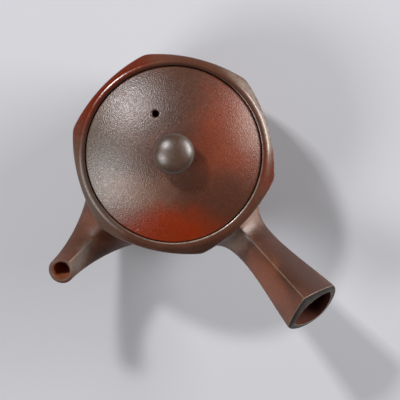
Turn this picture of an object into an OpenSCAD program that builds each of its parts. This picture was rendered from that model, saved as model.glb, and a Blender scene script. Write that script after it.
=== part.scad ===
// Side-handled teapot: a six-sided clay pot, a round drop-in lid, a ridged spout and a hollow ridged handle

/* [Lid] */
// Radius of the lid at its edge
lid_r = 40; // [34:0.5:48]
// Thickness of the lid at its edge and over its crown
lid_t = 3.2; // [2.6:0.1:4.5]
// Height of the crown above the top of the edge
lid_rise = 9; // [5:0.1:12]
// Radius that rounds the top of the edge
lid_edge_round = 1.2; // [0.6:0.1:1.6]
// Diameter of the steam hole
steam_hole_d = 3; // [2:0.1:4]
// Distance of the steam hole from the middle of the lid
steam_hole_offset = 20; // [15:0.5:26]
// Direction of the steam hole, turned from the pot's right-hand side
steam_hole_az = 158; // [0:1:359]
// Depth of the countersink at the top of the steam hole
steam_hole_sink = 0.6; // [0.3:0.1:1]
// Wall of the flange under the lid
flange_t = 2.6; // [2:0.1:3.6]
// Depth of the flange under the lid
flange_depth = 7; // [4:0.5:10]
// Bevel along the foot of the flange
flange_bevel = 0.7; // [0.3:0.1:0.9]

/* [Knob] */
// Diameter of the flattened ball
knob_d = 19.2; // [15:0.1:24]
// Height of the flattened ball
knob_ball_h = 11; // [8:0.1:15]
// Diameter of the neck under the ball
knob_neck_d = 9.6; // [7:0.1:12]
// Height of the neck
knob_neck_h = 4.6; // [2:0.1:6]
// How far the foot of the neck spreads over the lid
knob_foot_w = 1.8; // [0.8:0.1:3]

/* [Mouth] */
// Gap round the edge of the lid
lid_gap = 0.4; // [0.3:0.05:1.2]
// Gap between the flange and the ledge
flange_gap = 0.3; // [0.2:0.05:0.6]
// Thickness of the lip that stands round the lid
lip_t = 1.6; // [1.4:0.1:2.2]
// Height of the rim above the edge of the lid
lip_proud = 1.2; // [0.6:0.1:2.4]
// Width of the ledge that carries the lid
ledge_w = 3.5; // [2.5:0.1:5]
// Thickness of the ledge
ledge_t = 3; // [2:0.1:4]

/* [Pot] */
// Height of the rim
pot_h = 60; // [52:0.5:75]
// Width of the rim from the mouth ring out to the middle of a side
rim_w = 2.6; // [2:0.1:4]
// Radius that rounds the crest of the rim
crown_round = 3; // [2:0.1:4]
// Slope of the rim outside its crest
crown_slope = 44; // [30:1:60]
// Height of the upright band under the rim
upright_h = 14.2; // [6:0.1:16]
// Radius of the bowed sides, seen from above
side_bow_r = 76; // [60:1:110]
// How tightly the corners between the sides turn
corner_grip = 140; // [40:1:200]
// Radius of the base at the middle of a side
base_r = 33; // [27:0.5:36]
// How slowly the sides fill out above the base
side_fill = 0.8; // [0.7:0.05:1]
// Bevel round the base
base_bevel = 0.8; // [0.4:0.1:1.5]
// Wall at the middle of a side
wall_t = 3.2; // [2.6:0.1:4]
// Thickness of the floor
floor_t = 4.5; // [3.5:0.1:7]
// Radius of the corner between floor and wall
floor_round = 9; // [5:0.5:12]
// Width of the shelf that carries the mouth ring
shelf_w = 3.4; // [2.6:0.1:4]
// Height of the straight neck under the shelf
neck_h = 3; // [2:0.1:4]
// Height over which the hollow draws in to the neck
neck_slope_h = 5.5; // [4:0.1:8]
// Joint of slip between two luted pieces
slip_gap = 0.15; // [0.1:0.01:0.3]

/* [Spout] */
// Distance of the middle of the spout's mouth from the pot's side
spout_out = 28.8; // [24:0.1:40]
// Height of the spout's mouth over the rim
spout_over_rim = 1.5; // [0:0.1:8]
// Diameter of the hole in the mouth
spout_bore_d = 8.1; // [6:0.1:10]
// Width of the spout's lip
spout_lip_t = 1.3; // [1:0.1:2]
// Height of the spout's lip above the end of the flanks
spout_lip_h = 2; // [1.5:0.1:3]
// How far the flanks stand out beyond the lip
spout_flank = 0.7; // [0.3:0.1:1.2]
// Height of the middle of the root on the pot's wall
spout_root_z = 31; // [28:0.5:34]
// Half the width of the root, measured round the wall
spout_root_w = 17.5; // [15:0.5:20]
// Half the height of the root
spout_root_h = 16.5; // [15:0.5:18]
// How far off the wall the flare has turned outwards
spout_turn_out = 8; // [5:0.1:11]
// Slope of the spout where it leaves the wall
spout_lift = 40; // [20:1:50]
// Slope of the spout where it reaches the mouth
spout_rise = 56; // [40:1:70]
// Length over which the spout straightens towards the mouth
spout_straight = 18; // [12:0.5:24]
// Half the depth of the spout under its mouth
spout_throat_h = 6.5; // [6:0.1:8]
// Radius of the port through the pot's wall
port_r = 9.5; // [7:0.1:10]
// How much wider than the port the spout's passage starts
passage_ease = 1.8; // [0.5:0.1:2.5]

/* [Strainer] */
// Width of the strainer's foot round the port
strainer_seat = 4; // [3:0.1:5]
// How far the dome stands in from the wall
strainer_rise = 7; // [5:0.1:9]
// Thickness of the dome
strainer_t = 2; // [1.5:0.1:2.4]
// Diameter of a strainer hole
strainer_hole_d = 1.3; // [0.9:0.1:1.6]
// Distance between neighbouring holes
strainer_pitch = 2.5; // [2.2:0.1:4]

/* [Handle] */
// Angle from the spout round to the handle
handle_from_spout = 86; // [75:1:100]
// Slope of the handle
handle_tilt = 24; // [10:1:30]
// Distance of the middle of the handle's open end from the pot's side
handle_out = 49.4; // [40:0.1:70]
// Height of the middle of the root on the pot's wall
handle_root_z = 34; // [30:0.5:36]
// Half the width of the root, measured round the wall
handle_root_w = 14.5; // [13:0.5:17]
// Half the height of the root
handle_root_h = 14; // [13:0.5:16]
// How far off the wall the flare has turned outwards
handle_turn_out = 6; // [4:0.1:9]
// Length over which the handle straightens towards its end
handle_straight = 24; // [16:0.5:30]
// Half the width of the open end
handle_end_w = 14.1; // [12:0.1:17]
// Height of the ridge above the middle of the open end
handle_end_top = 12.5; // [10:0.1:15]
// Depth of the belly below the middle of the open end
handle_end_belly = 14.6; // [11:0.1:16]
// Wall of the handle at its end, from ridge to ridge
handle_wall = 3.4; // [2.6:0.1:4]
// Wall of the handle where it is luted to the pot
handle_root_wall = 7; // [5:0.1:8]
// Radius that rounds the lip of the open end
handle_lip_round = 0.9; // [0.5:0.1:1.2]

/* [Hidden] */
$fn = 96;

// How finely the soft shapes are drawn
POT_STEPS = 96;
SIDE_LEVELS = 10;
TUBE_STEPS = 48;
OUTSIDE_STEPS = 14;
INSIDE_STEPS = 12;
ROOT_STEPS = 4;
ARC_STEPS = 8;
LIP_STEPS = 4;
// Number of the pot's sides
SIDES = 6;
// How far a cut runs on past the face that it opens
PASS = 1;

// The spout points along -Y, and the handle stands on the pot's right
spout_az = -90;
handle_az = spout_az + handle_from_spout;

// Rings of the mouth, from the lid outwards to the sides, and from the lid inwards
lip_in_r = lid_r + lid_gap;
ring_r = lip_in_r + lip_t;
rebate_r = ring_r + slip_gap;
side_r = rebate_r + rim_w;
neck_r = rebate_r - shelf_w;
ledge_in_r = lid_r - ledge_w;
flange_r = ledge_in_r - flange_gap;
flange_in_r = flange_r - flange_t;

// The crest of the rim lies over the mouth ring
crest_r = (lip_in_r + 2 * rebate_r) / 3;

// Levels of the mouth, from the rim down
lid_edge_z = pot_h - lip_proud;
ledge_z = lid_edge_z - lid_t;
shelf_z = ledge_z - ledge_t;
belly_z = crown_z(side_r) - upright_h;

// The lid is a slice of a large sphere, with a flat pad for the knob
dome_r = (pow(lid_r, 2) + pow(lid_rise, 2)) / (2 * lid_rise);
dome_z = lid_edge_z + lid_rise - dome_r;
knob_foot_r = knob_neck_d / 2 + knob_foot_w;
pad_r = knob_foot_r + slip_gap;
pad_z = dome_z + sqrt(pow(dome_r, 2) - pow(pad_r, 2));

// Form of a ridged tube's outline: 1 is a straight-sided diamond and 2 a round
CRISP_RIDGE = 1.2;
CLEAR_RIDGE = 1.3;
BLUNT_RIDGE = 1.65;
FULL_BELLY = 1.8;
ROUND = 2;

clay_brown = [0.36, 0.24, 0.19];
clay_grey = [0.43, 0.39, 0.36];
clay_red = [0.45, 0.17, 0.09];

function lerp(a, b, s) = a + (b - a) * s;
function signed_pow(v, p) = sign(v) * pow(abs(v), p);
function sum(v, i = 0) = i < len(v) ? v[i] + sum(v, i + 1) : 0;
function bezier(a, b, c, d, s) =
    a * pow(1 - s, 3) + 3 * b * s * pow(1 - s, 2) + 3 * c * pow(s, 2) * (1 - s) + d * pow(s, 3);
// Points of an arc in a profile, ends included
function arc(x, y, r, from, to, steps = ARC_STEPS) =
    [for (i = [0:steps]) let (a = lerp(from, to, i / steps)) [x + r * cos(a), y + r * sin(a)]];
function radial(az, r, z) = [r * cos(az), r * sin(az), z];
function around(steps) = [for (j = [0:steps - 1]) 360 * j / steps];
function backwards(rings) = [for (i = [len(rings) - 1:-1:0]) rings[i]];

// Distance from the axis to one bowed side, in a direction turned from the side's middle
function bowed_side(turn, mid_r) =
    let (back = side_bow_r - mid_r)
    sqrt(pow(side_bow_r, 2) - pow(back * sin(turn), 2)) - back * cos(turn);
// All the sides together, with soft corners where two of them meet
function six_sided(az, mid_r) =
    mid_r * pow(sum([for (k = [0:SIDES - 1])
        pow(mid_r / bowed_side(az - k * 360 / SIDES, mid_r), corner_grip)]), -1 / corner_grip);
// Radius of the pot at the middle of a side: full at the belly, drawn in to the base
function side_mid_r(z) =
    z < belly_z ? base_r + (side_r - base_r) * pow(sin(90 * z / belly_z), side_fill) : side_r;
// Radius of the pot's wall in any direction and at any height
function pot_r(az, z) = six_sided(az, side_mid_r(z));
// Height of the straight slope that falls away from the rounded crest of the rim
function crown_z(r) =
    let (bend = crown_round * sin(crown_slope))
    pot_h - crown_round * (1 - cos(crown_slope)) - (r - crest_r - bend) * tan(crown_slope);

// Outline of a ridged tube: flanks that meet in a ridge above, and a rounder belly below
function ridged(half_w, top, belly, ridge, belly_form) =
    [for (phi = around(TUBE_STEPS))
        let (upper = sin(phi) >= 0, p = 2 / (upper ? ridge : belly_form))
        [half_w * signed_pow(cos(phi), p), (upper ? top : belly) * signed_pow(sin(phi), p)]];
// An outline laid on the pot's wall over a joint of slip: x runs round the wall and y up it
function on_wall(az, z, outline) =
    [for (p = outline)
        let (turn = az + p.x / pot_r(az, z) * 180 / PI)
        radial(turn, pot_r(turn, z + p.y) + slip_gap, z + p.y)];
// An outline set across a tube that leaves the pot along az and climbs at tilt
function across(az, r, z, tilt, outline) =
    [for (p = outline)
        radial(az, r - p.y * sin(tilt), z + p.y * cos(tilt)) + p.x * [-sin(az), cos(az), 0]];
function along(az, tilt, length) = radial(az, length * cos(tilt), length * sin(tilt));
function shifted(ring, step) = [for (p = ring) p + step];
function shares(outline, share) = [for (p = outline) p * share];
// Rings that flare smoothly from the first of four control rings to the last
function flare(a, b, c, d, steps) =
    [for (i = [0:steps]) [for (j = [0:len(a) - 1]) bezier(a[j], b[j], c[j], d[j], i / steps)]];
// Rings on the wall between a tube's passage and its outer edge, both left out
function root_face(az, z, inner, outer) =
    [for (i = [1:ROOT_STEPS - 1]) on_wall(az, z, lerp(inner, outer, i / ROOT_STEPS))];

// A closed skin over a run of rings, which caps its two ends or joins them into the wall of a tube
module skin(rings, tube) {
    n = len(rings[0]);
    last = len(rings) - 1;
    sides = [for (i = [0:tube ? last : last - 1], j = [0:n - 1])
        let (a = i * n, b = (i + 1) % len(rings) * n, k = (j + 1) % n)
        each [[a + j, b + j, b + k], [a + j, b + k, a + k]]];
    caps = tube ? [] : [[for (j = [0:n - 1]) j], [for (j = [n - 1:-1:0]) last * n + j]];
    polyhedron(points = [for (ring = rings) each ring], faces = concat(sides, caps), convexity = 8);
}

// Heights at which the outside of the pot is drawn, closer together near the base
LEVEL_CROWDING = 1.3;
outer_levels = concat(
    [0],
    [for (i = [0:SIDE_LEVELS]) lerp(base_bevel, belly_z, pow(i / SIDE_LEVELS, LEVEL_CROWDING))]);

// The six-sided wall under the round crown of the rim, which runs lower at the corners
module pot_outside() {
    turns = around(POT_STEPS);
    crown = arc(crest_r, pot_h - crown_round, crown_round, 90 - crown_slope, 90);
    skin(concat(
        [for (z = outer_levels) [for (az = turns) radial(az, pot_r(az, z) - (z == 0 ? base_bevel : 0), z)]],
        [[for (az = turns) let (r = six_sided(az, side_r)) radial(az, r, crown_z(r))]],
        [for (p = crown) [for (az = turns) radial(az, p.x, p.y)]]), tube = false);
}

// The round hollow of the pot, drawn in by a clearance, with the seat of the mouth ring on top
module pot_hollow(clear = 0) {
    start_z = floor_t + floor_round;
    start_r = side_mid_r(start_z) - wall_t;
    slope_z = shelf_z - neck_h - neck_slope_h;
    rotate_extrude()
        polygon(concat(
            [[0, floor_t + clear]],
            arc(start_r - floor_round, start_z, floor_round - clear, -90, 0),
            [for (i = [1:INSIDE_STEPS]) let (z = lerp(start_z, slope_z, i / INSIDE_STEPS))
                [side_mid_r(z) - wall_t - clear, z]],
            [[neck_r - clear, shelf_z - neck_h], [neck_r - clear, shelf_z], [rebate_r, shelf_z],
                [rebate_r, pot_h + PASS], [0, pot_h + PASS]]));
}

// Puts a thing on the axis of the port, facing outwards
module at_port(r) {
    translate(radial(spout_az, r, spout_root_z))
        rotate([90, 0, spout_az + 90])
            children();
}

module pot_body() {
    color(clay_brown)
        difference() {
            pot_outside();
            pot_hollow();
            at_port(side_r / 2)
                cylinder(r = port_r, h = side_r);
        }
}

// The ring that carries the lid: a ledge below and a thin lip round the lid's edge, with the rim's crest on top
module mouth_ring() {
    out_turn = acos((ring_r - crest_r) / crown_round);
    in_turn = acos((lip_in_r - crest_r) / crown_round);
    color(clay_grey)
        rotate_extrude()
            polygon(concat(
                [[ledge_in_r, shelf_z], [ring_r, shelf_z]],
                arc(crest_r, pot_h - crown_round, crown_round, out_turn, in_turn),
                [[lip_in_r, ledge_z], [ledge_in_r, ledge_z]]));
}

// The spout flares off the wall and climbs to a level, round mouth
spout_reach = side_r + spout_out;
spout_mouth_z = pot_h + spout_over_rim;
bore_r = spout_bore_d / 2;
spout_lip_r = bore_r + spout_lip_t;
LEVEL = 90;
// Share of the root's outline at which the flare, or the passage inside it, has turned outwards
SPOUT_TURN = 0.63;
PASSAGE_TURN = 0.5;

function level_ring(drop, outline) = across(spout_az, spout_reach, spout_mouth_z - drop, LEVEL, outline);
function spout_rings(root, turned, throat, end, steps) =
    flare(
        on_wall(spout_az, spout_root_z, root),
        shifted(on_wall(spout_az, spout_root_z, turned), along(spout_az, spout_lift, spout_turn_out)),
        shifted(across(spout_az, spout_reach, spout_mouth_z - spout_lip_h, spout_rise, throat),
            along(spout_az, spout_rise, -spout_straight)),
        level_ring(spout_lip_h, end), steps);

module spout() {
    root = ridged(spout_root_w, spout_root_h, spout_root_h, BLUNT_RIDGE, ROUND);
    turned = ridged(spout_root_w, spout_root_h, spout_root_h, CLEAR_RIDGE, ROUND);
    throat = ridged(spout_lip_r + spout_flank, spout_throat_h, spout_throat_h, CRISP_RIDGE, ROUND);
    flanks = ridged(spout_lip_r + spout_flank, spout_lip_r, spout_lip_r, BLUNT_RIDGE, ROUND);
    passage = ridged(port_r + passage_ease, port_r + passage_ease, port_r + passage_ease, ROUND, ROUND);
    bore = ridged(bore_r, bore_r, bore_r, ROUND, ROUND);
    bead_r = spout_lip_t / 2;
    lip = [for (i = [0:LIP_STEPS]) let (a = 180 * i / LIP_STEPS)
        level_ring(bead_r * (1 - sin(a)), shares(bore, 1 + bead_r * (1 + cos(a)) / bore_r))];
    color(clay_brown)
        skin(concat(
            spout_rings(root, shares(turned, SPOUT_TURN), throat, flanks, OUTSIDE_STEPS),
            lip,
            backwards(spout_rings(passage, shares(passage, PASSAGE_TURN), bore, bore, INSIDE_STEPS)),
            root_face(spout_az, spout_root_z, passage, root)), tube = true);
}

// The perforated dome behind the port keeps the leaves in the pot
module strainer() {
    half_w = port_r + strainer_seat;
    ball_r = (pow(half_w, 2) + pow(strainer_rise, 2)) / (2 * strainer_rise);
    ball_out = ball_r - strainer_rise;
    ball_at = side_mid_r(spout_root_z) - wall_t + ball_out;
    rim_turn = asin((strainer_t + strainer_hole_d) / ball_r);
    row_turn = strainer_pitch / ball_r * 180 / PI;
    rows = floor((acos(ball_out / ball_r) - rim_turn) / row_turn);
    color(clay_red)
        difference() {
            intersection() {
                at_port(ball_at)
                    difference() {
                        sphere(r = ball_r);
                        sphere(r = ball_r - strainer_t);
                    }
                pot_hollow(slip_gap);
            }
            at_port(ball_at)
                for (row = [0:rows], k = [0:max(1, SIDES * row) - 1])
                    rotate([0, 0, k * 360 / max(1, SIDES * row)])
                        rotate([180 + row * row_turn, 0, 0])
                            translate([0, 0, ball_r - strainer_t - PASS])
                                cylinder(d = strainer_hole_d, h = strainer_t + 2 * PASS);
        }
}

// The hollow handle flares off the wall, narrows to a waist and widens to its open end
handle_reach = side_r + handle_out;
handle_end_z = handle_root_z + handle_out * tan(handle_tilt);
// Share of the root's outline at which the flare has turned outwards
HANDLE_TURN = 0.32;
// Share of the open end's outline that is left where the straight stretch begins
HANDLE_TAPER = 0.8;

function handle_section(inset) =
    ridged(handle_end_w - inset, handle_end_top - inset, handle_end_belly - inset, CRISP_RIDGE, FULL_BELLY);
function handle_end(inset, ahead, share = 1) =
    shifted(across(handle_az, handle_reach, handle_end_z, handle_tilt, shares(handle_section(inset), share)),
        along(handle_az, handle_tilt, ahead));
function handle_rings(root, turned, inset, steps) =
    flare(
        on_wall(handle_az, handle_root_z, root),
        shifted(on_wall(handle_az, handle_root_z, turned), along(handle_az, handle_tilt, handle_turn_out)),
        handle_end(inset, -handle_straight, HANDLE_TAPER),
        handle_end(inset, -handle_lip_round), steps);

module handle() {
    hollow_w = handle_root_w - handle_root_wall;
    hollow_h = handle_root_h - handle_root_wall;
    root = ridged(handle_root_w, handle_root_h, handle_root_h, CLEAR_RIDGE, FULL_BELLY);
    turned = ridged(handle_root_w, handle_root_h, handle_root_h, CRISP_RIDGE, FULL_BELLY);
    hollow = ridged(hollow_w, hollow_h, hollow_h, BLUNT_RIDGE, FULL_BELLY);
    lip_out = [for (i = [1:LIP_STEPS - 1]) let (a = 90 * i / (LIP_STEPS - 1))
        handle_end(handle_lip_round * (1 - cos(a)), -handle_lip_round * (1 - sin(a)))];
    lip_in = [for (i = [LIP_STEPS - 1:-1:1]) let (a = 90 * i / (LIP_STEPS - 1))
        handle_end(handle_wall - handle_lip_round * (1 - cos(a)), -handle_lip_round * (1 - sin(a)))];
    color(clay_brown)
        skin(concat(
            handle_rings(root, shares(turned, HANDLE_TURN), 0, OUTSIDE_STEPS),
            lip_out,
            lip_in,
            backwards(handle_rings(hollow, shares(hollow, HANDLE_TURN), handle_wall, INSIDE_STEPS)),
            root_face(handle_az, handle_root_z, hollow, root)), tube = true);
}

// The lid's slightly domed disc, with a flat seat below and a hole that lets air in as the pot pours
module lid_plate() {
    edge_turn = asin((lid_r - lid_edge_round) / (dome_r - lid_edge_round));
    edge_z = dome_z + (dome_r - lid_edge_round) * cos(edge_turn);
    pad_turn = asin(pad_r / dome_r);
    under_r = dome_r - lid_t;
    under_turn = asin(flange_in_r / under_r);
    hole_at = radial(steam_hole_az, steam_hole_offset, 0);
    hole_z = dome_z + sqrt(pow(dome_r, 2) - pow(steam_hole_offset, 2));
    color(clay_grey)
        difference() {
            rotate_extrude()
                polygon(concat(
                    [[0, pad_z]],
                    arc(0, dome_z, dome_r, 90 - pad_turn, 90 - edge_turn, 3 * ARC_STEPS),
                    arc(lid_r - lid_edge_round, edge_z, lid_edge_round, 90 - edge_turn, 0),
                    [[lid_r, ledge_z], [flange_in_r, ledge_z]],
                    arc(0, dome_z, under_r, 90 - under_turn, 90, 2 * ARC_STEPS)));
            translate(hole_at + [0, 0, ledge_z])
                cylinder(d = steam_hole_d, h = lid_t + lid_rise + PASS);
            translate(hole_at + [0, 0, hole_z - steam_hole_sink])
                cylinder(d1 = steam_hole_d, d2 = steam_hole_d + 4 * steam_hole_sink, h = 2 * steam_hole_sink);
        }
}

// The ring under the lid that keeps it from sliding off
module lid_flange() {
    foot_z = ledge_z - flange_depth;
    color(clay_brown)
        rotate_extrude()
            polygon([
                [flange_in_r, ledge_z],
                [flange_in_r, foot_z + flange_bevel], [flange_in_r + flange_bevel, foot_z],
                [flange_r - flange_bevel, foot_z], [flange_r, foot_z + flange_bevel],
                [flange_r, ledge_z]]);
}

// The flattened ball that lifts the lid, on a short waisted neck
module lid_knob() {
    half_h = knob_ball_h / 2;
    neck_turn = acos(knob_neck_d / knob_d);
    ball_z = pad_z + knob_neck_h + half_h * sin(neck_turn);
    color(clay_grey)
        rotate_extrude()
            polygon(concat(
                [[0, pad_z]],
                [for (i = [0:ARC_STEPS]) let (a = 90 * i / ARC_STEPS)
                    [knob_foot_r - knob_foot_w * sin(a), pad_z + knob_neck_h * (1 - cos(a))]],
                [for (i = [0:3 * ARC_STEPS]) let (a = lerp(-neck_turn, 90, i / (3 * ARC_STEPS)))
                    [knob_d / 2 * cos(a), ball_z + half_h * sin(a)]]));
}

pot_body();
mouth_ring();
spout();
handle();
strainer();
lid_plate();
lid_flange();
lid_knob();
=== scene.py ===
"""A small brown clay teapot with a side handle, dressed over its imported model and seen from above."""
import math

import bpy
import numpy as np
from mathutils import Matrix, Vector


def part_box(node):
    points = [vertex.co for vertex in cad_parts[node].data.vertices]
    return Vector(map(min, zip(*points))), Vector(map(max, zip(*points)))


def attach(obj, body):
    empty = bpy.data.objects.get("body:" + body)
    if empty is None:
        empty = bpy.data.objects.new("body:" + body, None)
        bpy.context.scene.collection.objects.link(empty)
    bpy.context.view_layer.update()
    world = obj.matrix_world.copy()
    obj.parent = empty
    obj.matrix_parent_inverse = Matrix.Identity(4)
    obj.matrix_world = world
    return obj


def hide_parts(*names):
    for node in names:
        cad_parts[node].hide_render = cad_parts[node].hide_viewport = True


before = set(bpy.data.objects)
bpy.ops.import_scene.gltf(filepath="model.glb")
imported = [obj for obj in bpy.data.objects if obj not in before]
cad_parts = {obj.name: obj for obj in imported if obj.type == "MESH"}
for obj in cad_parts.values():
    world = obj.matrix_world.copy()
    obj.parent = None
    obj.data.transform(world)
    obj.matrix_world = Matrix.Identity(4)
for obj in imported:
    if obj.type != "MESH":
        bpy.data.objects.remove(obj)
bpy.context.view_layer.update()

MM = 0.001

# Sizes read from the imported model, in metres
RING_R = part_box("mouth_ring")[1].x
SHELF_Z, POT_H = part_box("mouth_ring")[0].z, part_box("mouth_ring")[1].z
LID_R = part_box("lid_plate")[1].x
LEDGE_Z, PAD_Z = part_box("lid_plate")[0].z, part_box("lid_plate")[1].z
FLANGE_R, FLANGE_FOOT_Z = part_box("lid_flange")[1].x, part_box("lid_flange")[0].z
KNOB_R, KNOB_TOP_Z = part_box("lid_knob")[1].x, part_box("lid_knob")[1].z

# Sizes of the pot's wall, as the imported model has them
SLIP = 0.15 * MM
LIP_T, LEDGE_W = 1.6 * MM, 3.5 * MM
RIM_W, CROWN_ROUND, CROWN_SLOPE, UPRIGHT_H = 2.6 * MM, 3 * MM, math.radians(44), 14.2 * MM
SIDE_BOW, CORNER_GRIP, SIDES = 76 * MM, 140, 6
BASE_R, SIDE_FILL, BASE_BEVEL = 33 * MM, 0.8, 0.8 * MM
WALL_T, FLOOR_T, FLOOR_ROUND = 3.2 * MM, 4.5 * MM, 9 * MM
SHELF_W, NECK_H, NECK_SLOPE_H = 3.4 * MM, 3 * MM, 5.5 * MM
REBATE_R = RING_R + SLIP
SIDE_R = REBATE_R + RIM_W
LIP_IN = RING_R - LIP_T
CREST_R = (LIP_IN + 2 * REBATE_R) / 3
# How far the outer edge of the rim is rubbed round
RIM_EDGE = 0.5 * MM

# Painted highlights: the rim painted paler where the right lamp's streak falls on it. Direction in the
# picture, distance from the axis, half width, spread round the rim and amount
RIM_PAINTED_HIGHLIGHTS = [(14, 43.6 * MM, 1.1 * MM, 0.04, 2.7), (45, 44.9 * MM, 1.7 * MM, 0.02, 1.5)]
# On this side of the picture the lip round the lid has a painted highlight near its edge; a stain over the
# lip's top is deepened with painted shade towards the opposite side
LIP_PALE_AZ, LIP_PALE, LIP_PALE_BACK, LIP_PALE_W = 300, 2, 0.25 * MM, 0.35 * MM
LIP_STAIN_AND_SHADE, LIP_SHADE_SWING, LIP_STAIN_AND_SHADE_GROWTH = 0.63, 0.37, 1.2

# Sizes of the lid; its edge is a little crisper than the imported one
LID_T, LID_RISE, LID_EDGE = 3.2 * MM, 9 * MM, 0.9 * MM
FLANGE_T = 2.6 * MM
STEAM_R, STEAM_OFF, STEAM_AZ, STEAM_SINK = 1.5 * MM, 20 * MM, math.radians(158), 0.7 * MM
KNOB_H, KNOB_NECK_R, KNOB_NECK_H, KNOB_FOOT_W = 11 * MM, 4.8 * MM, 4.6 * MM, 1.8 * MM
DOME_R = (LID_R**2 + LID_RISE**2) / (2 * LID_RISE)
DOME_Z = LEDGE_Z + LID_T + LID_RISE - DOME_R

# Sizes of the spout and of the handle. The spout's bore and the handle's open end depart a little from the
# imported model
SPOUT_AZ, SPOUT_ROOT_Z = math.radians(-90), 31 * MM
SPOUT_ROOT_W, SPOUT_ROOT_H, SPOUT_TURN, SPOUT_TURN_OUT = 17.5 * MM, 16.5 * MM, 0.63, 8 * MM
SPOUT_LIFT, SPOUT_RISE, SPOUT_STRAIGHT = math.radians(40), math.radians(56), 18 * MM
SPOUT_LIP_T, SPOUT_LIP_H, SPOUT_FLANK, SPOUT_THROAT_H = 1.5 * MM, 2 * MM, 0.7 * MM, 6.5 * MM
SPOUT_REACH, SPOUT_MOUTH_Z, BORE_R = SIDE_R + 28.8 * MM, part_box("spout")[1].z, 3.85 * MM
PORT_R, PASSAGE_EASE, PASSAGE_TURN, CREASE = 9.5 * MM, 1.8 * MM, 0.5, 0.3 * MM
HANDLE_AZ, HANDLE_TILT, HANDLE_ROOT_Z = math.radians(-4), math.radians(24), 34 * MM
HANDLE_OUT = 49.4 * MM
HANDLE_ROOT_W, HANDLE_ROOT_H, HANDLE_TURN, HANDLE_TURN_OUT = 14.5 * MM, 14 * MM, 0.32, 6 * MM
HANDLE_STRAIGHT, HANDLE_TAPER = 24 * MM, 0.8
HANDLE_END_W, HANDLE_END_TOP, HANDLE_END_BELLY = 14.1 * MM, 12.5 * MM, 14.6 * MM
HANDLE_WALL, HANDLE_ROOT_WALL, HANDLE_LIP = 6.5 * MM, 7 * MM, 0.4 * MM
HANDLE_EDGE_BACK, HANDLE_EDGE_ON, HANDLE_BELLY_SHIFT = 0.7 * MM, 0.5 * MM, 0.45
HANDLE_SIDE_SHARE, HANDLE_BELLY_SHARE = 0.5, 0.33
HANDLE_REACH, HANDLE_END_Z = SIDE_R + HANDLE_OUT, HANDLE_ROOT_Z + HANDLE_OUT * math.tan(HANDLE_TILT)

# Forms of a ridged tube's outline: 1 is a straight-sided diamond and 2 a round
CRISP_RIDGE, CLEAR_RIDGE, SOFT_RIDGE, BLUNT_RIDGE, FULL_BELLY, ROUND = 1.2, 1.3, 1.45, 1.65, 1.8, 2

# Points round the pot, a turned piece and a ridged tube, and steps along the spout, the handle and their
# hollows
POT_POINTS, TURNED_POINTS, TUBE_POINTS = 288, 256, 192
SPOUT_STEPS, HANDLE_STEPS, HOLLOW_STEPS = 80, 90, 40

# Faces that meet more steeply than this show a sharp edge
SHARP = math.radians(45)

# The picture is taken from straight above, turned against the part's axes
PICTURE_TURN = math.radians(43.9)


def span(a, b, steps):
    """Evenly spaced numbers from a to b, as a column."""
    return np.linspace(a, b, steps + 1)[:, None]


def round_turn(steps):
    """Directions round a full turn, in radians."""
    return np.linspace(0, 2 * np.pi, steps, endpoint=False)


def cornered_turn(steps):
    """Directions round a full turn, drawn closer together by a sine towards the pot's corners."""
    even, pull = round_turn(steps), 0.75 / SIDES
    return even - pull * np.sin(SIDES * even - np.pi)


def radial(az, r, z):
    """The point at distance r from the pot's axis, in direction az, at height z."""
    az, r, z = np.broadcast_arrays(az, r, z)
    return np.stack([r * np.cos(az), r * np.sin(az), z], -1)


def bowed_side(turn, mid_r):
    """Distance from the axis to a side bowed on a large circle, in a direction turned from its middle."""
    back = SIDE_BOW - mid_r
    return np.sqrt(SIDE_BOW**2 - (back * np.sin(turn)) ** 2) - back * np.cos(turn)


def six_sided(az, mid_r):
    """Soft minimum of the distances to the six bowed sides: their high negative powers, summed and rooted."""
    near = [(mid_r / bowed_side(az - 2 * np.pi * k / SIDES, mid_r)) ** CORNER_GRIP for k in range(SIDES)]
    return mid_r * sum(near) ** (-1 / CORNER_GRIP)


def crown_z(r):
    """Height of the rim at distance r: an arc over the crest, which runs out in a straight slope."""
    bend = CROWN_ROUND * math.sin(CROWN_SLOPE)
    x = r - CREST_R
    arc_drop = CROWN_ROUND - np.sqrt(CROWN_ROUND**2 - np.clip(x, -bend, bend) ** 2)
    return POT_H - arc_drop - np.maximum(x - bend, 0) * math.tan(CROWN_SLOPE)


BELLY_Z = crown_z(SIDE_R) - UPRIGHT_H


def side_mid_r(z):
    """Radius at the middle of a side: a power of a quarter sine from base to belly, then upright."""
    share = np.sin(np.pi / 2 * np.clip(z / BELLY_Z, 0, 1)) ** SIDE_FILL
    return BASE_R + (SIDE_R - BASE_R) * share


def pot_r(az, z):
    """Radius of the pot's six-sided wall, from the base up to the rim."""
    return six_sided(az, side_mid_r(z))


def crowned_rim(az):
    """The rim from the wall in to the mouth ring: an edge rounded by wear, as a quadratic curve round the
    corner of wall and slope, and then the crown."""
    wide = six_sided(az, SIDE_R)
    s = span(0, 1, 6)
    edge_in = wide - RIM_EDGE * math.cos(CROWN_SLOPE)
    edge_z = crown_z(wide) + RIM_EDGE * (math.sin(CROWN_SLOPE) * s**2 - (1 - s) ** 2)
    over = edge_in + (REBATE_R - edge_in) * span(0, 1, 20)[1:]
    edge = radial(az, wide + (edge_in - wide) * s**2, edge_z)
    return np.concatenate([edge, radial(az, over, crown_z(over))])


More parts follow.
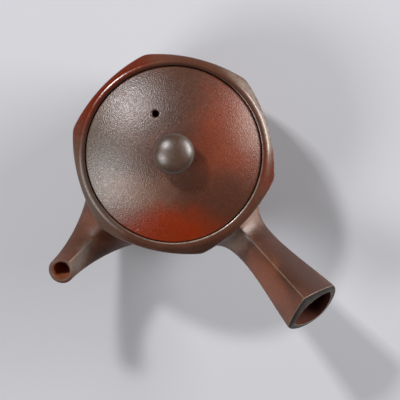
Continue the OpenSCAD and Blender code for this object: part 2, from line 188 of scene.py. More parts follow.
def soft_loop(corners, cut, steps=5):
    """A closed profile with each corner replaced by a quadratic curve between points on its two edges."""
    corners, cut = np.array(corners), np.reshape(cut, (-1, 1))
    back, on = np.roll(corners, 1, 0) - corners, np.roll(corners, -1, 0) - corners
    start = corners + back * (cut / np.linalg.norm(back, axis=1, keepdims=True))
    end = corners + on * (cut / np.linalg.norm(on, axis=1, keepdims=True))
    s = np.linspace(0, 1, steps + 1)[None, :, None]
    curve = start[:, None] * (1 - s) ** 2 + 2 * corners[:, None] * s * (1 - s) + end[:, None] * s**2
    return curve.reshape(-1, 2)


def turned(profile, steps=TURNED_POINTS):
    """A profile of (r, z) pairs carried round the pot's axis."""
    profile = np.array(profile)
    return radial(round_turn(steps)[None], profile[:, :1], profile[:, 1:])


def arc(x, z, r, start, end, steps):
    """Points of a circular arc in a profile, ends included."""
    a = span(start, end, steps)
    return np.hstack([x + r * np.cos(a), z + r * np.sin(a)])


def skin(name, rings, poles=False, **marks):
    """A mesh over a grid of points: each point, its neighbour in the ring and the two in the next ring make
    a quad. The last ring joins the first, or, with poles, the two end rings are single points. marks are
    per-point values."""
    count, n = rings.shape[:2]
    index = np.arange(count * n).reshape(count, n)
    keep = np.ones((count, n), bool)
    if poles:
        keep[[0, -1], 1:] = False
        index = np.cumsum(keep).reshape(count, n) - 1
    here, there = (index[1:-2], index[2:-1]) if poles else (index, np.roll(index, -1, 0))
    quads = np.stack([here, np.roll(here, -1, 1), np.roll(there, -1, 1), there], -1)
    quads = quads.reshape(-1, 4).tolist()
    if poles:
        first, last = index[1], index[-2]
        quads += np.stack([0 * first, np.roll(first, -1), first], -1).tolist()
        quads += np.stack([last, np.roll(last, -1), 0 * last + index[-1, 0]], -1).tolist()
    mesh = bpy.data.meshes.new(name)
    mesh.from_pydata(rings[keep].tolist(), [], quads)
    for mark, values in marks.items():
        values = np.broadcast_to(values, (count, n))[keep].astype(np.float32)
        mesh.attributes.new(mark, "FLOAT", "POINT").data.foreach_set("value", values)
    mesh.validate()
    mesh.polygons.foreach_set("use_smooth", np.ones(len(mesh.polygons), bool))
    mesh.set_sharp_from_angle(angle=SHARP)
    return mesh


def place(mesh, clay, body, node, slot):
    """The mesh as a piece of the part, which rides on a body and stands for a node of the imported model."""
    piece = bpy.data.objects.new(mesh.name, mesh)
    bpy.context.scene.collection.objects.link(piece)
    mesh.materials.append(clay)
    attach(piece, body)
    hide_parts(node)
    return piece


def cut_away(piece, mesh):
    """Cuts the space of a closed mesh out of a piece."""
    cutter = bpy.data.objects.new(mesh.name, mesh)
    bpy.context.scene.collection.objects.link(cutter)
    cut = piece.modifiers.new("cut", "BOOLEAN")
    cut.operation, cut.solver, cut.object = "DIFFERENCE", "EXACT", cutter
    shown = piece.evaluated_get(bpy.context.evaluated_depsgraph_get())
    piece.data = bpy.data.meshes.new_from_object(shown)
    piece.modifiers.clear()
    bpy.data.objects.remove(cutter)
    piece.data.set_sharp_from_angle(angle=SHARP)


def pot_skin():
    """The six-sided pot: its outline drawn up a side and over the rim, then the round hollow down to the
    floor. A painted highlight on the rim is a bell over the distance from the axis and the way round."""
    az = cornered_turn(POT_POINTS)[None]
    t = span(0, np.pi / 2, 4)
    bevel_z = BASE_BEVEL * (1 - np.cos(t))
    wall_top = crown_z(six_sided(az, SIDE_R)) - RIM_EDGE
    wall_z = BASE_BEVEL + (wall_top - BASE_BEVEL) * span(0, 1, 56)[1:-1] ** 1.2
    outside = np.concatenate([
        radial(az, np.zeros((1, 1)), 0),
        radial(az, pot_r(az, bevel_z) - BASE_BEVEL * (1 - np.sin(t)), bevel_z),
        radial(az, pot_r(az, wall_z), wall_z),
        crowned_rim(az)])
    start_z = FLOOR_T + FLOOR_ROUND
    start_r = side_mid_r(start_z) - WALL_T
    slope_z = SHELF_Z - NECK_H - NECK_SLOPE_H
    neck_r = REBATE_R - SHELF_W
    wall_z = span(slope_z, start_z, 24)
    hollow = np.vstack([
        [[REBATE_R, SHELF_Z], [neck_r, SHELF_Z], [neck_r, SHELF_Z - NECK_H]],
        np.hstack([side_mid_r(wall_z) - WALL_T, wall_z]),
        arc(start_r - FLOOR_ROUND, start_z, FLOOR_ROUND, 0, -np.pi / 2, 12)[1:],
        [[0, FLOOR_T]]])
    inside = radial(az, hollow[:, :1], hollow[:, 1:])
    inner = np.r_[np.zeros(len(outside)), np.ones(len(inside))][:, None]
    rings = np.concatenate([outside, inside])
    r, rubbed = np.hypot(rings[..., 0], rings[..., 1]), 0
    # Painted highlights: the rim is marked paler where the right lamp's streak falls on it
    for way, spot_r, half_w, spread, amount in RIM_PAINTED_HIGHLIGHTS:
        aside = 1 - np.cos(az - PICTURE_TURN - math.radians(way))
        rubbed = rubbed + amount * np.exp(-(((r - spot_r) / half_w) ** 2) - aside / spread)
    rubbed = rubbed * (rings[..., 2] > BELLY_Z) * (1 - inner)
    return skin("pot_wall", rings, poles=True, inner=inner, rubbed=rubbed)


def mouth_skin():
    """The ring in the mouth: a ledge below and a lip round the lid, whose top carries on the rim's crown."""
    ledge_in = LID_R - LEDGE_W
    r = np.r_[np.linspace(REBATE_R, LIP_IN + 0.25 * MM, 8), LIP_IN]
    top = np.stack([r, crown_z(r)], -1)
    corners = np.vstack([
        [[ledge_in, SHELF_Z], [REBATE_R, SHELF_Z]], top, [[LIP_IN, LEDGE_Z], [ledge_in, LEDGE_Z]]])
    luted, crown, edge, soft = 0.02 * MM, 0.08 * MM, 0.15 * MM, 0.3 * MM
    profile = soft_loop(corners, [soft, luted, luted] + [crown] * 7 + [edge, soft, soft])
    r, above = profile[:, :1], profile[:, 1:] > LEDGE_Z + 1 * MM
    # Painted highlight near the lip's inner edge on the side where that edge faces the key lamp, and painted
    # shade over a stain on the lip's top, deepest on the key lamp's side, where the lip slopes away from it
    pale_side = np.cos(round_turn(TURNED_POINTS)[None] - PICTURE_TURN - math.radians(LIP_PALE_AZ))
    inwards = np.clip((REBATE_R - r) / LIP_T * LIP_STAIN_AND_SHADE_GROWTH, 0, 1)
    stained = inwards * above * (LIP_STAIN_AND_SHADE - LIP_SHADE_SWING * pale_side)
    near_edge = np.exp(-(((r - LIP_IN - LIP_PALE_BACK) / LIP_PALE_W) ** 2))
    rubbed = LIP_PALE * near_edge * above * np.exp(2 * (pale_side - 1))
    return skin("mouth_lip", turned(profile), inner=~above, stained=stained, rubbed=rubbed)


def ridged(half_w, top, belly, ridge, belly_form, steps=TUBE_POINTS):
    """Outline of a ridged tube: a superellipse with one power above, where the flanks meet, and one below."""
    phi = round_turn(steps)
    upper = np.sin(phi) >= -1e-9
    p = np.where(upper, 2 / ridge, 2 / belly_form)
    x = half_w * np.sign(np.cos(phi)) * np.abs(np.cos(phi)) ** p
    y = np.where(upper, top, belly) * np.sign(np.sin(phi)) * np.abs(np.sin(phi)) ** p
    return np.stack([x, y], -1)


def on_wall(az, z, outline):
    """An outline laid on the pot's wall over a joint of slip: x runs round the wall and y up it."""
    way = az + outline[:, 0] / pot_r(az, z)
    height = z + outline[:, 1]
    return radial(way, pot_r(way, height) + SLIP, height)


def across(az, r, z, tilt, outline):
    """An outline set across a tube that leaves the pot along az and climbs at tilt."""
    x, y = outline[:, :1], outline[:, 1]
    return radial(az, r - y * np.sin(tilt), z + y * np.cos(tilt)) + x * [-math.sin(az), math.cos(az), 0]


def along(az, tilt, length):
    """A step of some length along a tube that climbs at tilt."""
    return radial(az, length * math.cos(tilt), length * math.sin(tilt))


def flare(a, b, c, d, steps):
    """Rings on cubic curves between four control rings."""
    s = np.linspace(0, 1, steps + 1)[:, None, None]
    return a * (1 - s) ** 3 + 3 * b * s * (1 - s) ** 2 + 3 * c * s**2 * (1 - s) + d * s**3


def root_face(az, z, inner, outer, steps=5):
    """Rings on the wall between a tube's passage and its outer edge, both left out."""
    shares = np.linspace(0, 1, steps + 1)[1:-1]
    return np.stack([on_wall(az, z, inner + (outer - inner) * s) for s in shares])


def level_ring(drop, outline):
    """An outline laid level round the spout's mouth."""
    return across(SPOUT_AZ, SPOUT_REACH, SPOUT_MOUTH_Z - drop, math.radians(90), outline)


def spout_rings(root, turn, throat, end, steps):
    """Rings from the wall, outwards and up to the level mouth."""
    return flare(
        on_wall(SPOUT_AZ, SPOUT_ROOT_Z, root),
        on_wall(SPOUT_AZ, SPOUT_ROOT_Z, turn) + along(SPOUT_AZ, SPOUT_LIFT, SPOUT_TURN_OUT),
        across(SPOUT_AZ, SPOUT_REACH, SPOUT_MOUTH_Z - SPOUT_LIP_H, SPOUT_RISE, throat)
        + along(SPOUT_AZ, SPOUT_RISE, -SPOUT_STRAIGHT),
        level_ring(SPOUT_LIP_H, end), steps)


def marked(runs, values):
    """One value for each run of rings, spread over the points of that run."""
    return np.concatenate([np.broadcast_to(v, run.shape[:2]) for run, v in zip(runs, values)])


def ridge_mark(rings, width):
    """1 along the ridge of a run of rings and 0 away from it, as a bell over the way round."""
    phi = round_turn(rings.shape[1])
    return np.exp(-(((phi - np.pi / 2) / width) ** 2))[None] * np.ones((len(rings), 1))


def spout_skin():
    """The spout's wall: the flare outside, the rounded lip, the passage back to the pot and the luted root.
    The ridge has wear and a painted highlight, more and more towards the mouth."""
    lip_r, passage_r = BORE_R + SPOUT_LIP_T, PORT_R + PASSAGE_EASE
    root = ridged(SPOUT_ROOT_W, SPOUT_ROOT_H, SPOUT_ROOT_H, BLUNT_RIDGE, ROUND)
    turn = ridged(SPOUT_ROOT_W, SPOUT_ROOT_H, SPOUT_ROOT_H, CLEAR_RIDGE, ROUND) * SPOUT_TURN
    throat = ridged(lip_r + SPOUT_FLANK, SPOUT_THROAT_H, SPOUT_THROAT_H, CRISP_RIDGE, ROUND)
    flanks = ridged(lip_r + SPOUT_FLANK, lip_r, lip_r, SOFT_RIDGE, ROUND)
    passage = ridged(passage_r, passage_r, passage_r, ROUND, ROUND)
    bore = ridged(BORE_R, BORE_R, BORE_R, ROUND, ROUND)
    bead = SPOUT_LIP_T / 2
    outside = spout_rings(root, turn, throat, flanks, SPOUT_STEPS)
    groove = level_ring(SPOUT_LIP_H - CREASE, bore * (1 + (SPOUT_LIP_T - CREASE) / BORE_R))[None]
    lip = np.stack([level_ring(bead * (1 - math.sin(a)), bore * (1 + bead * (1 + math.cos(a)) / BORE_R))
                    for a in np.linspace(0, np.pi, 13)])
    inside = spout_rings(passage, passage * PASSAGE_TURN, bore, bore, HOLLOW_STEPS)[::-1]
    root_rings = root_face(SPOUT_AZ, SPOUT_ROOT_Z, passage, root)
    runs = [outside, groove, lip, inside, root_rings]
    # Wear and a painted highlight along the ridge, growing towards the mouth
    towards_mouth = np.clip(span(-0.6, 1.2, SPOUT_STEPS), 0, 1)
    rubbed = marked(runs, [2 * ridge_mark(outside, 0.1) * towards_mouth, 0, 0.1, 0, 0])
    return skin("pouring_spout", np.concatenate(runs), rubbed=rubbed, inner=marked(runs, [0, 0, 0, 1, 1]))


def handle_end(inset, ahead, share=1):
    """The open end's outline, drawn in by an inset, less at the sides and belly, and moved along the handle;
    above by the whole of ahead and at the belly by a part of it. share shrinks it towards the waist."""
    ridge = CRISP_RIDGE + (BLUNT_RIDGE - CRISP_RIDGE) * inset / HANDLE_WALL
    section = ridged(HANDLE_END_W - HANDLE_SIDE_SHARE * inset, HANDLE_END_TOP - inset,
                     HANDLE_END_BELLY - HANDLE_BELLY_SHARE * inset, ridge, FULL_BELLY)
    ring = across(HANDLE_AZ, HANDLE_REACH, HANDLE_END_Z, HANDLE_TILT, section * share)
    above = np.clip(0.5 + 2 * np.sin(round_turn(len(ring))), 0, 1) if share == 1 else 1
    shift = HANDLE_BELLY_SHIFT + (1 - HANDLE_BELLY_SHIFT) * above
    return ring + along(HANDLE_AZ, HANDLE_TILT, ahead * shift)


def handle_rings(root, turn, inset, ahead, steps):
    """Rings from the wall, in to the waist and out to the open end."""
    return flare(
        on_wall(HANDLE_AZ, HANDLE_ROOT_Z, root),
        on_wall(HANDLE_AZ, HANDLE_ROOT_Z, turn) + along(HANDLE_AZ, HANDLE_TILT, HANDLE_TURN_OUT),
        handle_end(inset, -HANDLE_STRAIGHT, HANDLE_TAPER),
        handle_end(inset, ahead), steps)


def handle_skin():
    """The hollow handle's wall: the ridged outside, the lip, whose outer edge stands back from its inner one,
    the hollow and the luted root. The ridge has painted shade in a crease by the pot, and wear and a
    painted highlight further out; the lip is paler with wear in two humps, one at each edge, and has painted
    shade between them."""
    hollow_w, hollow_h = HANDLE_ROOT_W - HANDLE_ROOT_WALL, HANDLE_ROOT_H - HANDLE_ROOT_WALL
    root = ridged(HANDLE_ROOT_W, HANDLE_ROOT_H, HANDLE_ROOT_H, CRISP_RIDGE, FULL_BELLY)
    turn = ridged(HANDLE_ROOT_W, HANDLE_ROOT_H, HANDLE_ROOT_H, CRISP_RIDGE, FULL_BELLY) * HANDLE_TURN
    hollow = ridged(hollow_w, hollow_h, hollow_h, BLUNT_RIDGE, FULL_BELLY)
    outside = handle_rings(root, turn, 0, -HANDLE_EDGE_BACK - HANDLE_LIP, HANDLE_STEPS)
    inside = handle_rings(hollow, hollow * HANDLE_TURN, HANDLE_WALL, HANDLE_EDGE_ON - HANDLE_LIP,
                          HOLLOW_STEPS)[::-1]
    below = -2 * MM
    end = soft_loop([[0, below], [0, -HANDLE_EDGE_BACK], [HANDLE_WALL, HANDLE_EDGE_ON], [HANDLE_WALL, below]],
                    HANDLE_LIP)
    lip = np.stack([handle_end(inset, ahead) for inset, ahead in end[7:17]])
    root_rings = root_face(HANDLE_AZ, HANDLE_ROOT_Z, hollow, root)
    runs = [outside, lip, inside, root_rings]
    outwards, over = span(0, 1, HANDLE_STEPS), span(0, 1, len(lip) - 1)
    # Wear and a painted highlight along the ridge further out; painted shade in the crease by the pot
    ridge = ridge_mark(outside, 0.08) * (1.5 - 0.9 * outwards**6) * np.clip((outwards - 0.2) / 0.2, 0, 1)
    crease = 0.8 * ridge_mark(outside, 0.06) * np.clip((0.38 - outwards) / 0.1, 0, 1)
    # The lip: paler with wear in two humps at its edges, painted shade between them, and on its inner part
    # the hollow's red clay with painted shade
    humps = np.abs(np.sin((0.2 + 1.6 * over) * np.pi))
    edges = np.where(over < 0.5, 1.6 * humps**3, 2.6 * humps**1.5)
    red_and_shaded = np.clip((over - 0.67) / 0.2, 0, 1)
    between = np.clip((0.39 - np.abs(over - 0.5)) / 0.22, 0, 1)
    rubbed = marked(runs, [ridge, edges, 0, 0])
    inner = marked(runs, [0, red_and_shaded, 1, 1])
    stained = marked(runs, [crease, between, 0, 0])
    return skin("side_handle", np.concatenate(runs), rubbed=rubbed, inner=inner, stained=stained)


def nested_circles(inner_r, outer_r, share, steps=TURNED_POINTS):
    """Plan of a disc with one hole: circles that grow from the hole to the edge as their middles move in."""
    phi = round_turn(steps)[None]
    middle = STEAM_OFF * (1 - share)
    r = inner_r + (outer_r - inner_r) * share
    return middle * math.cos(STEAM_AZ) + r * np.cos(phi), middle * math.sin(STEAM_AZ) + r * np.sin(phi)


def lid_skin():
    """The domed lid, a slice of a large sphere: underside, seat, rounded edge, dome and steam hole."""
    under_r, flange_in = DOME_R - LID_T, FLANGE_R - FLANGE_T
    x, y = nested_circles(STEAM_R, flange_in, span(0, 1, 30))
    under = np.stack([x, y, DOME_Z + np.sqrt(under_r**2 - x**2 - y**2)], -1)
    edge_turn = math.asin((LID_R - LID_EDGE) / (DOME_R - LID_EDGE))
    edge_z = DOME_Z + (DOME_R - LID_EDGE) * math.cos(edge_turn)
    foot = 0.4 * MM
    edge = turned(np.vstack([
        [[flange_in, LEDGE_Z]],
        arc(LID_R - foot, LEDGE_Z + foot, foot, -np.pi / 2, 0, 4),
        arc(LID_R - LID_EDGE, edge_z, LID_EDGE, 0, np.pi / 2 - edge_turn, 8)]))
    brim_r = DOME_R * math.sin(edge_turn)
    x, y = nested_circles(STEAM_R + STEAM_SINK, brim_r, span(1, 0, 120)[1:])
    dome = np.stack([x, y, np.minimum(DOME_Z + np.sqrt(DOME_R**2 - x**2 - y**2), PAD_Z)], -1)
    a = span(0, np.pi / 2, 6)[1:]
    x, y = nested_circles(STEAM_R + STEAM_SINK * (1 - np.sin(a)), brim_r, 0 * a)
    hole = np.stack([x, y, DOME_Z + np.sqrt(DOME_R**2 - x**2 - y**2) - STEAM_SINK * (1 - np.cos(a))], -1)
    return skin("lid_dome", np.concatenate([under, edge, dome, hole]))


def flange_skin():
    """The ring under the lid, with softened corners."""
    flange_in, bevel = FLANGE_R - FLANGE_T, 0.7 * MM
    corners = [
        [flange_in, FLANGE_FOOT_Z + bevel], [flange_in + bevel, FLANGE_FOOT_Z],
        [FLANGE_R - bevel, FLANGE_FOOT_Z], [FLANGE_R, FLANGE_FOOT_Z + bevel],
        [FLANGE_R, LEDGE_Z], [flange_in, LEDGE_Z]]
    return skin("lid_flange_ring", turned(soft_loop(corners, 0.25 * MM)))


def knob_skin():
    """The knob: a foot that draws in on a quarter ellipse, and a flattened ball on a full one."""
    a = span(0, np.pi / 2, 16)
    foot = np.hstack([KNOB_NECK_R + KNOB_FOOT_W * (1 - np.sin(a)), PAD_Z + KNOB_NECK_H * (1 - np.cos(a))])
    turn = math.acos(KNOB_NECK_R / KNOB_R)
    a = span(-turn, np.pi / 2, 64)[1:]
    ball = np.hstack([KNOB_R * np.cos(a), KNOB_TOP_Z - KNOB_H / 2 + KNOB_H / 2 * np.sin(a)])
    return skin("lid_button", turned(np.vstack([[[0, PAD_Z]], foot, ball]), TUBE_POINTS), poles=True)


def srgb(*levels):
    """A colour given as screen levels of 0 to 255, as the linear colour that a shader takes."""
    c = np.array(levels) / 255
    return (*np.where(c <= 0.04045, c / 12.92, ((c + 0.055) / 1.055) ** 2.4), 1.0)


def from_above(right, up, z):
    """A place in the picture, given in millimetres right of and up from the lid's middle, at height z."""
    c, s = math.cos(PICTURE_TURN), math.sin(PICTURE_TURN)
    return right * MM * c - up * MM * s, right * MM * s + up * MM * c, z


def node(tree, kind, inputs=(), **settings):
    """A shader node with its settings, and its inputs linked to sockets or set to values."""
    made = tree.nodes.new(kind)
    for name, value in settings.items():
        setattr(made, name, value)
    for name, value in dict(inputs).items():
        if isinstance(value, bpy.types.NodeSocket):
            tree.links.new(value, made.inputs[name])
        else:
            made.inputs[name].default_value = value
    return made


def blend(tree, share, below, above):
    """One colour over another, by a share."""
    return node(tree, "ShaderNodeMix", {0: share, 6: below, 7: above}, data_type="RGBA").outputs[2]


def ranged(tree, value, low, high, to_low, to_high):
    """A value carried smoothly from one range to another."""
    return node(tree, "ShaderNodeMapRange", {0: value, 1: low, 2: high, 3: to_low, 4: to_high},
                interpolation_type="SMOOTHSTEP").outputs[0]


# How fine the clay's patterns are, in waves per metre, and how far the edges of its patches wander
CLOUDS, STRAYS, POLISH, SPECKS, WEAR = 55, 70, 600, 1900, 420
WANDER = 16 * MM


def fired_clay(name, dark, light, rough, gloss=0.5, ior=1.5, pebble=(900, 0.15), flashes_and_painted_light=(), washes=(),
               with_wear_and_highlight=False):
    """Unglazed clay: a cloudy ground between two browns, fire flash marks and patches of painted light and
    shade, specks and a fine pebbled skin.

    A flash is (colour, place, radii, strength, lean, matt): an ellipsoid in the picture's directions, with
    radii in millimetres, leant by some degrees, with a wandering soft edge. Its clay is rougher by matt.
    A wash is (mark, colour, matt): another clay, a stain, painted light or painted shade, where the mesh
    carries that mark. The clay can be paler in patches where the mesh is marked with wear and with painted
    highlights.
    pebble is the skin's fineness, in grains per metre, and its depth.
    """
    clay = bpy.data.materials.new(name)
    clay.use_nodes = True
    tree = clay.node_tree
    tree.nodes.clear()
    at = node(tree, "ShaderNodeTexCoord").outputs["Object"]

    def noise(scale, detail=2.0, rough_share=0.5):
        """A cloudy pattern on the clay."""
        return node(tree, "ShaderNodeTexNoise", {
            "Vector": at, "Scale": scale, "Detail": detail, "Roughness": rough_share})

    def rougher(share, matt):
        """The clay's roughness with a share of matt added to it."""
        added = node(tree, "ShaderNodeMath", {0: share, 1: matt, 2: burnish}, operation="MULTIPLY_ADD")
        return added.outputs[0]

    ground = blend(tree, ranged(tree, noise(CLOUDS, 3).outputs[0], 0.3, 0.7, 0, 1), dark, light)
    stray = node(tree, "ShaderNodeVectorMath", {0: noise(STRAYS, 4, 0.6).outputs[1], 1: (0.5, 0.5, 0.5)},
                 operation="SUBTRACT").outputs[0]
    stray = node(tree, "ShaderNodeVectorMath", {0: stray, "Scale": WANDER}, operation="SCALE").outputs[0]
    wander = node(tree, "ShaderNodeVectorMath", {0: at, 1: stray}, operation="ADD").outputs[0]
    burnish = ranged(tree, noise(POLISH, 2).outputs[0], 0.3, 0.7, rough - 0.04, rough + 0.04)
    for colour, place, radii, strength, lean, matt in flashes_and_painted_light:
        local = node(tree, "ShaderNodeMapping", {
            "Vector": wander, "Location": place, "Scale": [r * MM for r in radii],
            "Rotation": (0, 0, PICTURE_TURN + math.radians(lean))}, vector_type="TEXTURE")
        glow = node(tree, "ShaderNodeTexGradient", {"Vector": local.outputs[0]}, gradient_type="SPHERICAL")
        share = ranged(tree, glow.outputs[1], 0, 0.75, 0, strength)
        ground = blend(tree, share, ground, colour)
        burnish = rougher(share, matt)
    for mark, colour, matt in washes:
        share = node(tree, "ShaderNodeAttribute", attribute_name=mark).outputs["Fac"]
        ground = blend(tree, share, ground, colour)
        burnish = rougher(share, matt)
    specks = ranged(tree, noise(SPECKS, 2).outputs[0], 0.36, 0.62, 0.84, 1.08)
    ground = node(tree, "ShaderNodeVectorMath", {0: ground, "Scale": specks}, operation="SCALE").outputs[0]
    # Paler patches for wear and for painted highlights, where the mesh marks them
    if with_wear_and_highlight:
        share = node(tree, "ShaderNodeAttribute", attribute_name="rubbed").outputs["Fac"]
        patchy = ranged(tree, noise(WEAR, 3).outputs[0], 0.25, 0.6, 0.25, 0.6)
        share = node(tree, "ShaderNodeMath", {0: share, 1: patchy}, operation="MULTIPLY").outputs[0]
        ground = blend(tree, share, ground, WEAR_AND_HIGHLIGHT_GREY)
    grains, depth = pebble
    relief = node(tree, "ShaderNodeBump", {
        "Strength": depth, "Distance": 0.2 * MM, "Height": noise(grains, 2, 0.55).outputs[0]})
    shader = node(tree, "ShaderNodeBsdfPrincipled", {
        "Base Color": ground, "Roughness": burnish, "Specular IOR Level": gloss, "IOR": ior,
        "Normal": relief.outputs[0]})
    node(tree, "ShaderNodeOutputMaterial", {"Surface": shader.outputs[0]})
    return clay


BROWN, DARK_BROWN, UMBER = srgb(104, 66, 50), srgb(86, 52, 38), srgb(84, 46, 31)
GREY_BROWN, SMOKE_GREY, ASH_GREY = srgb(96, 80, 69), srgb(80, 61, 53), srgb(112, 97, 87)
# Pale grey for wear, and for painted highlights on the rim, the lip round the lid and the ridges
WEAR_AND_HIGHLIGHT_GREY = srgb(150, 132, 118)
FIRE_RED, BRICK, RED_BROWN, RUSSET = srgb(138, 42, 0), srgb(110, 32, 0), srgb(124, 56, 32), srgb(110, 47, 28)
# SPOUT_RED is the bore's orange clay painted lighter, as light inside the bore; HANDLE_RED is the hollow's
# redder clay painted darker, as shade inside the handle
POT_RED, SPOUT_RED, HANDLE_RED = srgb(120, 52, 30), srgb(156, 88, 55), srgb(74, 22, 0)
SCORCHED, SMOKED, SHADED, DEEP_BROWN = srgb(60, 35, 26), srgb(66, 40, 29), srgb(62, 30, 19), srgb(72, 42, 30)
# LIP_DARK: a stain deepened with painted shade on the lip round the lid. END_DARK: painted shade on the
# handle's open end and in the crease by its root
LIP_DARK, END_DARK = srgb(52, 28, 20), srgb(24, 13, 8)
TAN, FAWN, CHESTNUT = srgb(126, 80, 61), srgb(132, 94, 73), srgb(127, 72, 48)
PALE_FAWN, BUFF, DULL_BUFF = srgb(160, 120, 100), srgb(160, 127, 110), srgb(148, 124, 110)

# Fire flash marks on the pot and its mouth ring, the spout, the handle and the lid; among those of the
# spout, the handle and the lid are patches of painted shade, highlight and sheen, marked where they stand
wall_flashes = [
    (GREY_BROWN, from_above(-40, -20, 52 * MM), (28, 40, 26), 0.9, 0, 0.2),
    (BRICK, from_above(-32.5, 33.6, 54 * MM), (46, 24, 30), 1.0, 46, 0),
    (RUSSET, from_above(45, -6, 52 * MM), (12, 20, 30), 0.9, 0, 0),
    (RED_BROWN, from_above(-30, -34, 20 * MM), (22, 22, 18), 0.7, 0, 0),
    (UMBER, from_above(20, -38, 30 * MM), (30, 22, 40), 0.8, 0, 0),
    (SCORCHED, from_above(12, -48, 52 * MM), (46, 14, 20), 0.7, 10, 0)]
spout_flashes_and_painted_light = [
    (TAN, from_above(-38, -33, 40 * MM), (9, 9, 14), 0.6, 0, 0),
    # Painted shadow of the rim on the spout's root
    (SHADED, from_above(-31.5, -37.5, 42 * MM), (10, 7, 14), 0.9, -20, 0),
    (SMOKE_GREY, from_above(-50.7, -52.7, 66 * MM), (10, 10, 10), 0.9, 0, 0),
    # Painted sheen along the spout's ridge, on greyer clay
    (ASH_GREY, from_above(-42.5, -48, 54 * MM), (14, 5, 20), 1.0, 46, 0),
    # Painted shade on the spout's right flank below the rim
    (UMBER, from_above(-22, -48, 40 * MM), (16, 10, 30), 0.8, 0, 0)]
handle_flashes_and_painted_light = [
    # Painted shade along the handle's right flank
    (DEEP_BROWN, from_above(56, -50, 54 * MM), (46, 13, 30), 1.0, -48, 0),
    # Painted highlight on the right side of the handle's root
    (BUFF, from_above(34.5, -28.5, 45 * MM), (12, 9, 20), 0.9, -30, 0),
    # Painted light on the left side of the handle's root, which lies in shade
    (DULL_BUFF, from_above(28, -39, 44 * MM), (12, 9, 20), 0.9, -30, 0),
    # Painted light along the handle's left flank, in a redder brown
    (CHESTNUT, from_above(46, -62, 50 * MM), (34, 10, 24), 0.8, -48, 0)]
lid_flashes_and_painted_sheen = [
    (GREY_BROWN, from_above(-41, -10, 60 * MM), (36, 48, 60), 1.0, 0, 0),
    (RED_BROWN, from_above(25.5, 9.5, 60 * MM), (25, 42, 60), 1.0, 0, 0),
    # Painted sheen of the right lamp near the lid's right edge, on paler clay
    (PALE_FAWN, from_above(37, 15, 60 * MM), (13, 20, 60), 0.35, 0, 0),
    (UMBER, from_above(20, -24, 60 * MM), (30, 24, 60), 1.0, 0, 0),
    (SMOKED, from_above(0, 24, 60 * MM), (26, 20, 60), 0.6, 0, 0),
    (FAWN, from_above(-18, -17, 60 * MM), (24, 14, 60), 0.7, -10, 0),
    (FIRE_RED, from_above(-2, -37, 60 * MM), (34, 20, 60), 1.0, 0, 0)]

pot_clay = fired_clay(
    "burnished_pot_clay", DARK_BROWN, BROWN, rough=0.21, gloss=0.65, pebble=(800, 0.1), flashes_and_painted_light=wall_flashes,
    washes=[("inner", POT_RED, 0.5)], with_wear_and_highlight=True)
# The lip round the lid: its stain is deepened with painted shade
rim_clay = fired_clay(
    "burnished_lip_clay", DARK_BROWN, BROWN, rough=0.21, gloss=0.65, pebble=(800, 0.1), flashes_and_painted_light=wall_flashes,
    washes=[("inner", POT_RED, 0.4), ("stained", LIP_DARK, 0)], with_wear_and_highlight=True)
# Inside the spout, the bore's clay is painted lighter, as light reaching into it
spout_clay = fired_clay(
    "satin_spout_clay", DARK_BROWN, BROWN, rough=0.44, gloss=0.3, flashes_and_painted_light=spout_flashes_and_painted_light,
    washes=[("inner", SPOUT_RED, 0.5)], with_wear_and_highlight=True)
# Inside the handle, its redder clay is painted darker as shade; the lip and the crease by the root carry
# painted shade
handle_clay = fired_clay(
    "satin_handle_clay", DARK_BROWN, BROWN, rough=0.32, gloss=0.5, flashes_and_painted_light=handle_flashes_and_painted_light,
    washes=[("inner", HANDLE_RED, 0.5), ("stained", END_DARK, 0.2)], with_wear_and_highlight=True)
strainer_clay = fired_clay("plain_red_clay", srgb(110, 50, 30), srgb(132, 62, 38), rough=0.65)
lid_clay = fired_clay(
    "pebbled_lid_clay", srgb(80, 48, 35), srgb(98, 62, 47), rough=0.31, gloss=0.8, pebble=(1600, 0.7),
    flashes_and_painted_light=lid_flashes_and_painted_sheen)
flange_clay = fired_clay("plain_flange_clay", srgb(100, 50, 34), srgb(120, 62, 42), rough=0.6)
knob_clay = fired_clay(
    "burnished_knob_clay", srgb(68, 46, 33), srgb(86, 62, 46), rough=0.385, gloss=1.0, ior=1.55,
    pebble=(800, 0.06))

# The part: the pot's wall is open where the spout's passage meets it, and the strainer keeps its own solid
pot = place(pot_skin(), pot_clay, "pot", "pot_body", "pot_clay")
port = across(SPOUT_AZ, SIDE_R / 2, SPOUT_ROOT_Z, 0, ridged(PORT_R, PORT_R, PORT_R, ROUND, ROUND, 96))
port_middle, through = np.broadcast_to(port.mean(0), port.shape), along(SPOUT_AZ, 0, SIDE_R)
cut_away(pot, skin("port", np.stack([port_middle, port, port + through, port_middle + through]), poles=True))
place(mouth_skin(), rim_clay, "pot", "mouth_ring", "rim_clay")
place(spout_skin(), spout_clay, "pot", "spout", "spout_clay")
place(handle_skin(), handle_clay, "pot", "handle", "handle_clay")
place(lid_skin(), lid_clay, "lid", "lid_plate", "lid_clay")
place(flange_skin(), flange_clay, "lid", "lid_flange", "flange_clay")
place(knob_skin(), knob_clay, "lid", "lid_knob", "knob_clay")
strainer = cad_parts["strainer"]
strainer.data.materials.clear()
strainer.data.materials.append(strainer_clay)


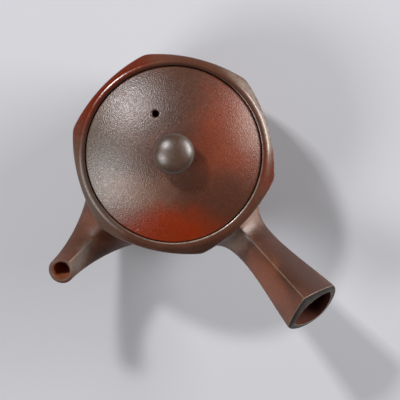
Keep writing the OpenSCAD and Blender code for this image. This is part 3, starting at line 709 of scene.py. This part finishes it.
# The floor, a flat disc
STAGE_R, STAGE_T = 4.0, 0.01
floor_rings = turned([[0, -STAGE_T], [STAGE_R, -STAGE_T], [STAGE_R, 0], [0, 0]], 96)
floor_mesh = skin("studio_floor", floor_rings, poles=True)
floor = bpy.data.objects.new("studio_floor", floor_mesh)
bpy.context.scene.collection.objects.link(floor)
pale = bpy.data.materials.new("pale_floor")
pale.use_nodes = True
matt_pale = pale.node_tree.nodes["Principled BSDF"].inputs
matt_pale["Base Color"].default_value = srgb(203, 203, 208)
matt_pale["Roughness"].default_value = 0.9
matt_pale["Specular IOR Level"].default_value = 0.1
floor_mesh.materials.append(pale)

# A faint light from all round, and three soft lamps
world = bpy.data.worlds.new("studio")
bpy.context.scene.world = world
world.use_nodes = True
all_round = world.node_tree.nodes["Background"].inputs
all_round["Color"].default_value = (0.97, 0.98, 1.0, 1.0)
all_round["Strength"].default_value = 0.04


def softbox(name, way, up, distance, width, height, level):
    """An oblong lamp aimed at the lid. way and up are its angles in the picture and above the floor, in
    degrees; level is the share of a white floor's full brightness that it gives."""
    az, el = math.radians(way) + PICTURE_TURN, math.radians(up)
    lamp = bpy.data.lights.new(name, "AREA")
    lamp.shape, lamp.size, lamp.size_y = "RECTANGLE", width, height
    lamp.energy = level * math.pi**2 * distance**2 / math.sin(el)
    obj = bpy.data.objects.new(name, lamp)
    obj.location = (distance * math.cos(el) * math.cos(az), distance * math.cos(el) * math.sin(az),
                    POT_H + distance * math.sin(el))
    obj.rotation_euler = (math.pi / 2 - el, 0, az + math.pi / 2)
    obj.visible_camera = False
    bpy.context.scene.collection.objects.link(obj)


softbox("key", 131, 49, 1.3, 0.14, 0.14, 0.40)
softbox("left", 203, 46, 1.0, 0.40, 0.40, 0.34)
softbox("right", 22, 20, 1.0, 0.70, 0.50, 0.36)

# The camera, straight above the middle of the picture, which is as wide at the rim as PICTURE_W
PICTURE_W, CAMERA_UP = 181.8 * MM, 1.8
PICTURE_RIGHT, PICTURE_UP = 12.04, -20.9
view = bpy.data.cameras.new("camera")
view.sensor_width = 36
view.lens = view.sensor_width * CAMERA_UP / PICTURE_W
camera = bpy.data.objects.new("camera", view)
camera.location = from_above(PICTURE_RIGHT, PICTURE_UP, POT_H + CAMERA_UP)
camera.rotation_euler = (0, 0, PICTURE_TURN)
bpy.context.scene.collection.objects.link(camera)
bpy.context.scene.camera = camera
bpy.context.scene.view_settings.view_transform = "Standard"
